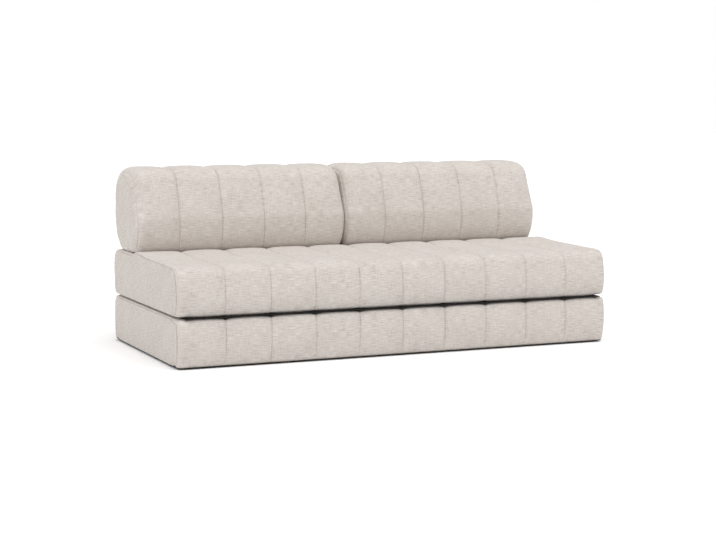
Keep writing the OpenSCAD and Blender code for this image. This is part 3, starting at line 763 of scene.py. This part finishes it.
# The two slabs and the cushions
base_ends = Ends((36, 100), (885, 949), (60, 185), (12, 80), (26, 26), (7, 18), (6, 12), droop=3.5)
seat_ends = Ends((36, 100), (885, 949), (60, 170), (12, 80), (26, 26), (7, 18), (5, 11), lift=4.5)
cushion_ends = Ends((645, 800), (835, 945), (130, 310), (10, 100), (40, 54), (42, 54), (18, 28), stretch=1.5)
full_half = SOFA_HALF + FULL
slab_sizes = (full_half, full_half - 0.5, CHANNEL_W, CHANNEL_N)
base_shell = Shell(base_points(), 190, *slab_sizes, base_ends, 11, 0.8, NOTCH)
seat_shell = Shell(seat_points(), 210, *slab_sizes, seat_ends, 23, 0.9, NOTCH)
cushion_sizes = (CUSHION_HALF, CUSHION_PANEL_HALF, 2 * CUSHION_HALF / CUSHION_N, CUSHION_N)
cushion_shells = {
    side: Shell(cushion_points(), 170, *cushion_sizes, cushion_ends, seed, 1.1)
    for side, seed in (("left", 37), ("right", 53))
}


def smoothly(values, grid, at):
    """Values of a grid's rows at other places, on a smooth curve through them."""
    i = np.clip(np.searchsorted(grid, at, side="right") - 1, 0, len(grid) - 2)
    h = grid[i + 1] - grid[i]
    t = (at - grid[i]) / h
    slope = np.gradient(values, grid, axis=0)
    h, t = (v.reshape(-1, *[1] * (values.ndim - 1)) for v in (h, t))
    return hermite(t, h, values[i], values[i + 1], slope[i], slope[i + 1])


CLOTH_FRAMES = 20


def swell(shell, free, cap):
    """Blows a cover up as cloth that is sewn down along its seams and round its ends. The shell keeps
    how far each place moved, less than cap, where it is free to."""
    step = shell.width / 16
    o = outline_of(shell.points, int(shell.fine["s"][-1] / step), hold=0)
    xs = np.arange(-shell.n * 8 + 1, shell.n * 8) * step
    xs = np.r_[-shell.panel, xs[np.abs(xs) < shell.panel - step / 2], shell.panel]
    start = shell.points_at(o, xs, fine=False)
    s, m = start.shape[:2]
    share = free(*o["yz"].T, o["w"])
    to_seam = np.abs(xs[:, None] - np.array(shell.seams())).min(1)
    sewn = (to_seam < 1) | (np.abs(xs) == shell.panel)
    held = np.flatnonzero(sewn[:, None] | (share < 0.02)[None])
    quads = grid_faces(s, m)[:, ::-1]
    sheet = added("sheet", new_mesh(start.reshape(-1, 3), [quads], sharp=0))
    scene = bpy.context.scene
    sheet.vertex_groups.new(name="held").add(held.tolist(), 1.0, "REPLACE")
    cloth = sheet.modifiers.new("cloth", "CLOTH").settings
    cloth.quality, cloth.mass, cloth.bending_stiffness = 5, 0.3, 0.4
    cloth.tension_stiffness = cloth.compression_stiffness = cloth.shear_stiffness = 12
    cloth.use_pressure, cloth.uniform_pressure_force = True, 4
    cloth.shrink_min = -0.03
    cloth.vertex_group_mass = "held"
    cloth.effector_weights.gravity = 0
    for number in range(CLOTH_FRAMES):
        scene.frame_set(number + 1)
    blown = sheet.evaluated_get(bpy.context.evaluated_depsgraph_get()).to_mesh()
    after = np.empty(s * m * 3, np.float32)
    blown.vertices.foreach_get("co", after)
    bpy.data.meshes.remove(sheet.data)
    scene.frame_set(1)
    moved = after.reshape(s, m, 3) / MM + (0, DEPTH_MID, 0) - start
    size = np.linalg.norm(moved, axis=2, keepdims=True)
    moved *= share[None, :, None] * cap / (cap + size)
    shell.move = lambda at, run: smoothly(smoothly(moved, xs, at).swapaxes(0, 1), o["s"], run).swapaxes(0, 1)


def base_free(y, z, w):
    return ease((z - 3) / 20) * ease((BASE_SLAB_H - 12 - z) / 25)


def seat_free(y, z, w):
    return np.maximum(ease((z - 12) / 25) * ease((570 - y) / 70), ease((y - 955) / 20) * ease((z - 100) / 25))


def cushion_free(y, z, w):
    return ease((z - 20) / 50) * ease(w / 0.3)


swell(base_shell, base_free, 3.2)
swell(seat_shell, seat_free, 3.2)
for shell in cushion_shells.values():
    swell(shell, cushion_free, 3.4)


# Covers and their ends. A spine is the depths between which an end panel's face rises, and its height.
SLAB_SPINE, SLAB_END_CROWN = (110, 875), 5.0
CUSHION_SPINE = (745, 850, 165)
SLABS = [("base", base_shell, BASE_Z, 0.0), ("seat", seat_shell, SEAT_Z, 0.0)]
CUSHIONS = [
    (word + "_cushion", shell, CUSHION_Z, CUSHION_MIDS[word]) for word, shell in cushion_shells.items()
]

for (body, shell, z, mid), h in zip(SLABS, (BASE_SLAB_H, SEAT_SLAB_H)):
    deep = WALL + LINING
    mesh = cover_mesh(shell, [(deep, h - deep), (SLAB_D - deep, h - deep)], z)
    cover = piece(body + "_quilted_cover", mesh, body, COVER, [body + "_cover"])
    for side, word in ((-1, "left"), (1, "right")):
        mesh = end_mesh(shell, side, *SLAB_SPINE, h * 0.5, z, mid, SLAB_END_CROWN, side + 3)
        node = [f"{body}_end_panel_{word}"]
        end = piece(f"{body}_{word}_end", mesh, body, COVER, node)

cushion_raw = curve_through(cushion_points(), 2, OUTLINE_SPREAD)
inner_picks = np.linspace(30, len(cushion_raw) - 40, 12).astype(int)
deep = CUSHION_WALL + LINING
CUSHION_INSIDE = np.vstack([
    (NOSE_Y + 2 * LINING, deep),
    (cushion_raw[:, :2] - normals(cushion_raw[:, :2]) * deep)[inner_picks],
    (HEEL_Y - LINING, deep),
])

for body, shell, z, mid in CUSHIONS:
    mesh = cover_mesh(shell, CUSHION_INSIDE, z, mid)
    cover = piece(body + "_quilted_cover", mesh, body, COVER, [body + "_cover"])
    for side in (-1, 1):
        outer = side * mid > 0
        node = f"{body}_{'outer' if outer else 'inner'}_end"
        mesh = end_mesh(shell, side, *CUSHION_SPINE, z, mid, 1.0 if outer else 0.0, side + 7)
        end = piece(node + "_panel", mesh, body, COVER, [node])


# Small repeated pieces
def ring_faces(rings, n, wrap=False):
    """Faces between rings of n points each, with a cap on both ends or joined round."""
    i = np.arange(n)
    j = (i + 1) % n
    pairs = [(k, (k + 1) % rings) for k in range(rings if wrap else rings - 1)]
    faces = [np.vstack([np.stack([a * n + i, a * n + j, b * n + j, b * n + i], 1) for a, b in pairs])]
    if not wrap:
        faces += [i[::-1][None], (rings - 1) * n + i[None]]
    return faces


def repeated(verts, faces):
    """One mesh from copies of a shape: verts are (copies, points, 3)."""
    copies, points = verts.shape[:2]
    shift = (np.arange(copies) * points)[:, None, None]
    return verts.reshape(-1, 3), [(f[None] + shift).reshape(-1, f.shape[1]) for f in faces]


BAR_RINGS = ((-1, 0.35), (-0.75, 1), (0.75, 1), (1, 0.35))


def bars(centre, along, up, size, rings=BAR_RINGS, sides=6):
    """Small rounded bars in one mesh. size is their length, width and height."""
    rows = (np.atleast_2d(np.asarray(v, float)) for v in (centre, along, up))
    centre, along, up = np.broadcast_arrays(*rows)
    length, width, height = np.array(size) / 2
    along = unit(along)
    side = unit(np.cross(up, along))
    up = np.cross(along, side)
    turn = np.arange(sides) * 2 * np.pi / sides + np.pi / sides
    rows = [
        centre + along * (t * length) + side * (np.cos(a) * width * r) + up * (np.sin(a) * height * r)
        for t, r in rings for a in turn
    ]
    verts, faces = repeated(np.stack(rows, 1), ring_faces(len(rings), sides))
    return closed_mesh(verts, faces)


ROUND = 40


def lathe(profile, centres):
    """A closed profile of radius and height, turned about Z at each centre."""
    turn = np.arange(ROUND) * 2 * np.pi / ROUND
    rings = np.array([[(r * math.cos(a), r * math.sin(a), h) for a in turn] for r, h in profile])
    verts = rings.reshape(1, -1, 3) + np.asarray(centres, float)[:, None]
    verts, faces = repeated(verts, ring_faces(len(profile), ROUND, wrap=True))
    return closed_mesh(verts, faces)


def sheet_mesh(xs, ys, inward, low, top, z, shift=0.0):
    """A closed sheet over a grid, between its low and its top heights."""
    gx, gy = np.meshgrid(xs, ys, indexing="ij")
    gy = gy + inward
    nx, ny = gx.shape
    n = nx * ny
    quads = grid_faces(nx, ny)
    rim = np.concatenate([
        np.arange(nx) * ny, (nx - 1) * ny + np.arange(1, ny),
        np.arange(nx - 2, -1, -1) * ny + ny - 1, np.arange(ny - 2, 0, -1),
    ])
    after = np.roll(rim, -1)
    sides = np.stack([rim, after, after + n, rim + n], 1)
    verts = np.vstack([np.stack([gx, gy, h], 2).reshape(-1, 3) for h in (low, top)]) + (shift, 0, z)
    return new_mesh(verts, [quads, quads[:, ::-1] + n, sides], verts[:, :2])


# Seam threads
def seam_lines(shell):
    """Centres, directions and normals of the stitches along a shell's seams."""
    o = shell.fine
    lines = shell.points_at(o, np.array(shell.seams()))
    centres, along, up = [], [], []
    for line in lines:
        run = np.r_[0, np.cumsum(np.linalg.norm(np.diff(line, axis=0), axis=1))]
        s = np.arange(2.0, run[-1], STITCH_PITCH)
        s = s[np.interp(s, run, o["w"]) > 0.2]
        centres.append(sampled(s, run, line))
        along.append(sampled(s, run, np.gradient(line, axis=0)))
        up.append(np.c_[np.zeros(len(s)), sampled(s, run, o["n"])])
    return np.vstack(centres), np.vstack(along), np.vstack(up)


STITCH_PITCH = 4.6
STITCH_RINGS = ((-1, 0.2), (0, 1), (1, 0.2))
for body, shell, z, mid in SLABS + CUSHIONS:
    centres, along, up = seam_lines(shell)
    threads = bars(centres + (mid, 0, z), along, up, (3.6, 0.8, 0.7), STITCH_RINGS, 4)
    piece(body + "_seam_thread", threads, body, THREAD)


# Underside of the seat
def tucked(shell, xs):
    """Stations of a sheet whose rim is tucked into the seam round the ends."""
    side = shell.panel - np.abs(xs)
    return np.sign(xs) * (shell.panel - np.where(side < 6, 3 + side / 2, side))


UNDER_FRONT, UNDER_REAR = 26, 959
from_seam = (0, 1.6, 5, 12, 30, 60, 97)
channels = [s + side * step for s in seat_shell.seams() for step in from_seam for side in (-1, 1)]
rim_steps = np.array([0, 1.5, 4, 8, 13, 19, 26, 36, 60])
edge_x = seat_shell.panel - rim_steps
xs = np.unique(np.round(np.r_[channels, -edge_x, edge_x], 3))
xs = xs[np.abs(xs) <= seat_shell.panel]
near_front = UNDER_FRONT + np.array([0, 2, 6, 14, 34, 54])
near_rear = UNDER_REAR - np.array([14, 6, 2, 0])
ys = np.r_[near_front, STRAP_W, 90, 94, 104, np.linspace(130, 930, 33), near_rear]
gx, gy = np.meshgrid(xs, ys, indexing="ij")
nearest = np.clip(np.rint(gx / CHANNEL_W + CHANNEL_N / 2), 1, CHANNEL_N - 1)
away = np.abs(gx - (nearest - CHANNEL_N / 2) * CHANNEL_W)
rim = np.exp(-np.minimum(gy - UNDER_FRONT, UNDER_REAR - gy) / 5) * 1.2
inward, lift = seat_shell.lifted(gx, gy)
low = 0.25 + lift + rim + 3.0 * valley(away) + 1.5 * np.exp(-((away / 1.4) ** 2))
low -= 0.25 * wavy(gx, gy, 5, 60) * (1 - np.exp(-away / 6)) - 0.25
low = np.where(gy <= STRAP_W, np.maximum(low, STRAP_T + 0.1), low)
top = np.maximum(8.0, low + 2.5)
mesh = sheet_mesh(tucked(seat_shell, xs), ys, inward, low, top, SEAT_Z)
underside = piece("seat_underside_panel", mesh, "seat", COVER, ["seat_underside"])

# Hinge strap: real webbing, made near-black and run almost to the ends, so it also paints the shade of the
# gap between the slabs
BEND_R = 0.95
bend = np.radians(np.linspace(270, 90, 13))
flat = (STRAP_W, 70, 50, 30, 12, 4)
strap_line = np.vstack([
    [(y, AXIS_Z - BEND_R) for y in flat],
    np.c_[AXIS_Y + BEND_R * np.cos(bend), AXIS_Z + BEND_R * np.sin(bend)],
    [(y, AXIS_Z + BEND_R) for y in flat[::-1]],
])
strap_side = -normals(strap_line) * STRAP_T / 2
strap_loop = np.vstack([strap_line + strap_side, (strap_line - strap_side)[::-1]])
strap_xs = np.linspace(-STRAP_HALF, STRAP_HALF, 81)
verts = np.vstack([np.c_[np.full(len(strap_loop), x), strap_loop] for x in strap_xs])
mesh = closed_mesh(verts, ring_faces(len(strap_xs), len(strap_loop)), sharp=60)
strap = piece("hinge_strap", mesh, None, STRAP_WEB_AND_GAP_SHADE, ["hinge_strap_lower", "hinge_strap_upper"])
STITCH_ROWS = (68.0, 81.0)
xs = np.arange(-STRAP_HALF + 8, STRAP_HALF - 4, 7.0)
for body, z in (("base", BASE_TOP), ("seat", SEAT_Z)):
    spots = np.array([(x, y, z) for y in STITCH_ROWS for x in xs])
    stitches = bars(spots, (1, 0, 0), (0, 0, 1), (4.6, 0.9, 0.24), STITCH_RINGS, 4)
    piece(body + "_strap_stitches", stitches, body, DARK_THREAD)

# Dust cloth, its staples and the glides
near_x = (0.2, 2, 5, 8, 11, 14, 17, 17.8, 18.6, 19.4, 20.5, 24, 40)
xs = base_shell.panel - np.r_[near_x, np.arange(80, 980, 60)]
xs = np.unique(np.round(np.r_[-xs, 0, xs], 3))
near_y = np.array([20.3, 21.5, 23, 24.2, 24.8, 25.3, 25.8, 28, 40])
ys = np.r_[near_y, np.linspace(80, 905, 16), (FRAME_FRONT + FRAME_REAR - near_y)[::-1]]
gx, gy = np.meshgrid(xs, ys, indexing="ij")
outside = np.maximum.reduce([
    ease((np.abs(gx) - FRAME_HALF - 0.2) / 1.4),
    ease(FRAME_FRONT - 0.2 - gy),
    ease(gy - FRAME_REAR - 0.2),
])
inward, lift = base_shell.lifted(gx, gy)
top = outside * lift - 0.15 * (1 + wavy(gx, gy, 8, 90)) * (1 - outside)
mesh = sheet_mesh(tucked(base_shell, xs), ys, inward, top - 1.2, top, BASE_Z)
cloth = piece("frame_dust_cloth", mesh, "base", BLACK_CLOTH, ["dust_cloth"])
STAPLE_PITCH, STAPLE_IN = 60.0, 10.0
rows_y = (FRAME_FRONT + STAPLE_IN, FRAME_REAR - STAPLE_IN)
rows_x = (STAPLE_IN - FRAME_HALF, FRAME_HALF - STAPLE_IN)
long_rows = [(x, y, 0) for x in np.arange(-960, 961, STAPLE_PITCH) for y in rows_y]
short_rows = [(x, y, 0) for y in np.arange(66, 930, STAPLE_PITCH) for x in rows_x]
spots = np.array(long_rows + short_rows) + (0, 0, BASE_Z - 1.5)
lean = np.array([(1, 0, 0)] * len(long_rows) + [(0, 1, 0)] * len(short_rows))
staples = bars(spots, lean, (0, 0, 1), (11, 1.2, 0.7))
piece("dust_cloth_staples", staples, "base", STEEL)

GLIDE_PROFILE = [
    (2.2, 5.8), (2.2, 4.6), (4.2, 4.6), (4.2, 0.7), (4.6, 0.2), (5.2, 0), (14.8, 0), (16.4, 0.5), (17.5, 1.6),
    (18, 3.0), (18, 5.3), (17.5, 5.8),
]
GLIDE_XS, GLIDE_YS = (-957.85, -494.0, 0.0, 494.0, 957.85), (56.15, 928.85)
places = [(x, y, 0) for x in GLIDE_XS for y in GLIDE_YS]
piece("floor_glides", lathe(GLIDE_PROFILE, places), "base", GLIDE, ["glides"])


# Zips
class Spot:
    """A frame on a cover: a runs along X, b up along the cloth and c out of it."""

    def __init__(self, origin, tilt):
        a = math.radians(tilt)
        self.origin = np.array(origin, float)
        self.up = np.array([0, math.sin(a), math.cos(a)])
        self.out = np.array([0, math.cos(a), -math.sin(a)])

    def at(self, a, b, c):
        a, b, c = np.broadcast_arrays(a, b, c)
        return self.origin + a[..., None] * (1.0, 0, 0) + b[..., None] * self.up + c[..., None] * self.out


def swept(spot, profile, stations, shrink=None, sharp=35.0):
    """A closed profile of b and c, swept along a. shrink scales c at each station."""
    b, c = np.array(profile, float).T
    a = np.asarray(stations, float)
    k = np.ones(len(a)) if shrink is None else np.asarray(shrink)
    verts = spot.at(a[:, None], b[None], c[None] * k[:, None]).reshape(-1, 3)
    around = np.r_[0, np.cumsum(np.hypot(np.diff(b), np.diff(c)))]
    uv = np.stack(np.broadcast_arrays(a[:, None], around[None]), 2).reshape(-1, 2)
    return closed_mesh(verts, ring_faces(len(a), len(b)), uv, sharp)


TAPE_PROFILE = [
    (-13, 0), (-13, 0.6), (-12.5, 0.9), (-3.2, 0.9), (-2.4, 1.2), (2.4, 1.2), (3.2, 0.9), (12.5, 0.9),
    (13, 0.6), (13, 0),
]
LIP_PROFILE = [
    (5.4, 0.95), (4.5, 1.2), (4.2, 1.9), (4.7, 2.5), (8, 2.6), (13, 2.2), (17, 1.2), (19, 0.1),
    (19, -1.0), (13, 0.95),
]
SADDLE_PROFILE = [
    (-3.9, 1.05), (-2.8, 1.05), (-2.8, 2.8), (2.8, 2.8), (2.8, 1.05), (3.9, 1.05), (3.9, 3.3), (3.3, 3.9),
    (-3.3, 3.9), (-3.9, 3.3),
]
TOOTH_PITCH, STOP_L, SLIDER_L, TAB_L, TAB_W = 2.6, 4.0, 12.0, 22.0, 7.0


def tab_mesh(spot, a):
    """A slider's pull tab with its hole, hanging down from the saddle's top."""
    turn = np.arange(ROUND) * 2 * np.pi / ROUND
    ca, sa = np.cos(turn), np.sin(turn)
    hole_b = 3.9 - TAB_L + 3
    with np.errstate(divide="ignore"):
        reach = np.minimum.reduce([
            TAB_W / 2 / np.abs(ca), np.where(sa > 0, (TAB_L - 3) / np.abs(sa), 3 / np.abs(sa))
        ])
    reach = np.minimum(reach, np.where(sa < 0, 3.9, 30.0))
    rings = [(reach, 3.95), (1.5, 3.95), (1.5, 4.85), (reach, 4.85)]
    verts = np.vstack([spot.at(a + ca * r, hole_b + sa * r, c) for r, c in rings])
    return closed_mesh(verts, ring_faces(4, ROUND, wrap=True))


def add_zip(name, body, slider_body, spot, half, nodes):
    """A closed zip of twice the half length, with its slider at the left end, under two lips of fabric."""
    long = np.linspace(-half, half, int(half / 12))
    piece(name + "_tape", swept(spot, TAPE_PROFILE, long), body, ZIP_TAPE, nodes[:1])
    teeth_a = np.arange(-half + STOP_L + 1, half - STOP_L, TOOTH_PITCH)
    teeth = bars(spot.at(teeth_a, 0.0, 1.75), spot.up, spot.out, (5.0, 1.7, 1.5))
    piece(name + "_teeth", teeth, body, ZIP_TEETH)
    stop_a = np.array([-half + STOP_L / 2, half - STOP_L / 2])
    stops = bars(spot.at(stop_a, 0.0, 1.8), spot.up, spot.out, (10, STOP_L, 3.4))
    piece(name + "_stops", stops, body, SLIDER)
    for side, word in ((-1, "lower"), (1, "upper")):
        rows = [(side * b, c) for b, c in LIP_PROFILE]
        lip = swept(spot, rows, np.linspace(-half - 10, half + 10, int(half / 8)), sharp=60)
        piece(f"{name}_{word}_lip", lip, body, COVER)
    first = -half + STOP_L + 0.3
    saddle_a = first + np.array([0, 0.8, 2, 10, 11.2, SLIDER_L])
    saddle = swept(spot, SADDLE_PROFILE, saddle_a, [0.93, 0.98, 1, 1, 0.98, 0.93])
    piece(name + "_slider_saddle", saddle, slider_body, SLIDER, nodes[1:])
    middle = first + SLIDER_L / 2
    bridge = bars(spot.at(middle, 0.0, 4.5), (1, 0, 0), spot.out, (9, 2.2, 2.2))
    piece(name + "_slider_bridge", bridge, slider_body, SLIDER)
    piece(name + "_pull_tab", tab_mesh(spot, middle), slider_body, SLIDER)


ZIP_TILT, SEAT_ZIP_HALF, CUSHION_ZIP_HALF = 49.0, 890.0, 406.0
seat_zip = Spot((0, SLAB_D - BELLY, SEAT_Z + JOINT_REAR_R + 25), 0.0)
add_zip("seat_zip", "seat", "seat_slider", seat_zip, SEAT_ZIP_HALF, ["seat_zip", "seat_zip_slider"])
for word, mid in CUSHION_MIDS.items():
    y, z = (ZIP_A + ZIP_B) / 2
    spot = Spot((mid, y, CUSHION_Z + z), ZIP_TILT)
    name = word + "_cushion_zip"
    nodes = [name, name + "_slider"]
    add_zip(name, word + "_cushion", word + "_slider", spot, CUSHION_ZIP_HALF, nodes)

# Non-slip panels under the cushions
DOME_RINGS = ((-1, 1), (0.2, 0.95), (0.75, 0.7), (1, 0.35))
DOT_PITCH, DOT_EDGE = 13.0, 468
for body, shell, z, mid in CUSHIONS:
    edge_x = shell.panel - np.array([0.2, 3, 8, 14, 22, 34, 50])
    xs = np.unique(np.round(np.r_[-edge_x, np.arange(-420, 421, 30), edge_x], 3))
    rim = np.array([0, 2, 6])
    ys = np.r_[NOSE_Y + rim, np.linspace(NOSE_Y + 20, HEEL_Y - 20, 10), HEEL_Y - rim[::-1]]
    gx, gy = np.meshgrid(xs, ys, indexing="ij")
    inward, lift = shell.lifted(gx, gy)
    low = 0.8 + lift + 0.15 * wavy(gx, gy, 12, 50)
    mesh = sheet_mesh(xs, ys, inward, low, low + 4.4, z, mid)
    grip = piece(body + "_grip_cloth", mesh, body, GRIP_CLOTH, [body + "_grip_panel"])
    rows = np.arange(NOSE_Y + 12, HEEL_Y - 8, DOT_PITCH)
    dot_x, dot_y = np.meshgrid(np.arange(-DOT_EDGE, DOT_EDGE + 1, DOT_PITCH), rows)
    inward, lift = shell.lifted(dot_x, dot_y)
    dots = np.stack([dot_x, dot_y + inward, 0.55 + lift], 2).reshape(-1, 3)
    domes = bars(dots + (mid, 0, z), (0, 0, -1), (0, 1, 0), (1.0, 4.0, 4.0), DOME_RINGS, 8)
    piece(body + "_grip_dots", domes, body, GRIP_DOTS)

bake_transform(strap)

# Camera, lights and floor
camera_data = bpy.data.cameras.new("camera")
camera_data.lens, camera_data.sensor_width = 83.75, 36.0
camera_data.clip_end = 100
camera = added("camera", camera_data)
yaw, pitch = math.radians(23.489), math.radians(6.073)
look_along = Vector((math.sin(yaw) * math.cos(pitch), math.cos(yaw) * math.cos(pitch), -math.sin(pitch)))
camera.location = (-3.000, -6.910, 1.124)
camera.rotation_mode = "QUATERNION"
camera.rotation_quaternion = look_along.to_track_quat("-Z", "Y")
bpy.context.scene.camera = camera


def lit_and_seen(tree, kind, lit, seen, output):
    """Fills a tree with one shader for the light that it gives and another for what the camera and
    mirrors see. lit and seen are the two shaders' inputs."""
    tree.nodes.clear()
    nodes = Nodes(tree)
    path = nodes.make("LightPath", {})
    eye = nodes.maths("MAXIMUM", path["Is Camera Ray"], path["Is Glossy Ray"])
    eye = nodes.maths("MAXIMUM", eye, path["Is Transmission Ray"])
    mix = nodes.make("MixShader", {"Fac": eye, 1: nodes.make(kind, lit)[0], 2: nodes.make(kind, seen)[0]})
    nodes.make(output, {"Surface": mix[0]})


def grey(value):
    return (value, value, value, 1)


world = bpy.data.worlds.new("studio")
bpy.context.scene.world = world
world.use_nodes = True
glow, backdrop = ({"Color": grey(1.0), "Strength": strength} for strength in (0.69, 1.0))
lit_and_seen(world.node_tree, "Background", glow, backdrop, "OutputWorld")

FLOOR = 30
floor_mesh = bpy.data.meshes.new("floor")
corners = [(-FLOOR, -FLOOR, 0), (FLOOR, -FLOOR, 0), (FLOOR, FLOOR, 0), (-FLOOR, FLOOR, 0)]
floor_mesh.from_pydata(corners, [], [(0, 1, 2, 3)])
floor = added("floor", floor_mesh)
floor_mat = bpy.data.materials.new("floor_white")
floor_mat.use_nodes = True
lit, seen = {"Color": grey(0.86)}, {"Color": grey(1.06)}
lit_and_seen(floor_mat.node_tree, "BsdfDiffuse", lit, seen, "OutputMaterial")
floor_mesh.materials.append(floor_mat)
floor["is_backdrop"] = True


def sun(name, toward, strength, spread):
    """A soft distant lamp that shines from a direction, its light spread over an angle in degrees."""
    data = bpy.data.lights.new(name, "SUN")
    data.energy, data.angle = strength, math.radians(spread)
    lamp = added(name, data)
    lamp.location = toward
    lamp.rotation_mode = "QUATERNION"
    lamp.rotation_quaternion = (-Vector(toward)).to_track_quat("-Z", "Y")


sun("top_sun", (0.9, -2.0, 4.4), 1.25, 70)
sun("left_sun", (-4.4, -1.8, 2.4), 0.62, 60)

bpy.context.scene.view_settings.view_transform = "Standard"

low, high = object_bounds()
